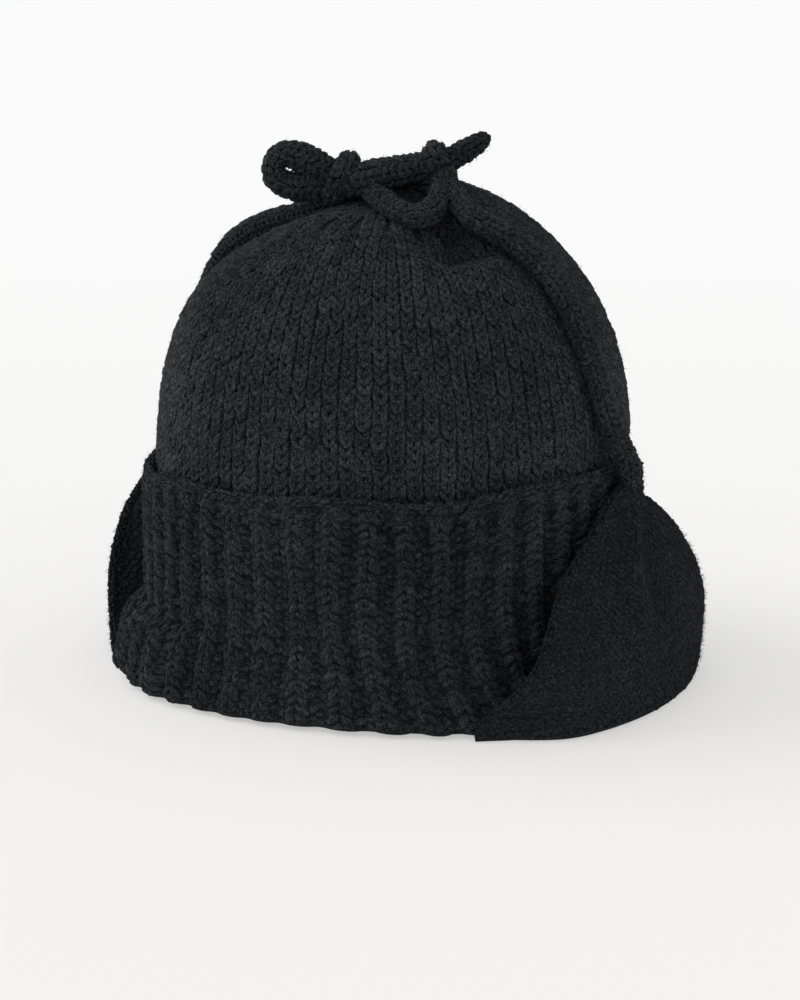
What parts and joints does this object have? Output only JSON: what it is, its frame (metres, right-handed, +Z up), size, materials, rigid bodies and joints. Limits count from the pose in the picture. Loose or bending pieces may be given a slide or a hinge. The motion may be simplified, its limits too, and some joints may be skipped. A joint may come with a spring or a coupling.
{
  "type": "knitted watch cap with ear flaps tied up",
  "caption": "Domed knitted cap with a turned-up ribbed cuff and ear flaps turned up outside it, their knitted ties fastened in a bow on top of the crown.",
  "frame": {"origin": "centre of the bounding box of all that is not cord, on the surface the cap stands on", "axes": "+Z up through the crown, +X out through the right ear flap, -X through the left one, -Y toward the cap's front"},
  "size_m": [0.2342, 0.2066, 0.2063],
  "materials": {
    "crown_knit": "chunky stocking-stitch wool, near black, matt with a faint fuzz",
    "cuff_rib": "knit-one purl-one rib in near-black wool, matt",
    "flap_knit": "reverse stocking stitch in near-black wool, pebbled and matt",
    "tie_knit": "round knitted cord in near-black wool, matt"
  },
  "bodies": {
    "root": {"crown": "crown_knit", "cuff": "cuff_rib", "ear_flap_right": "flap_knit", "ear_flap_left": "flap_knit", "tie_right": "tie_knit", "tie_left": "tie_knit", "bow": "tie_knit"}
  },
  "joints": []
}
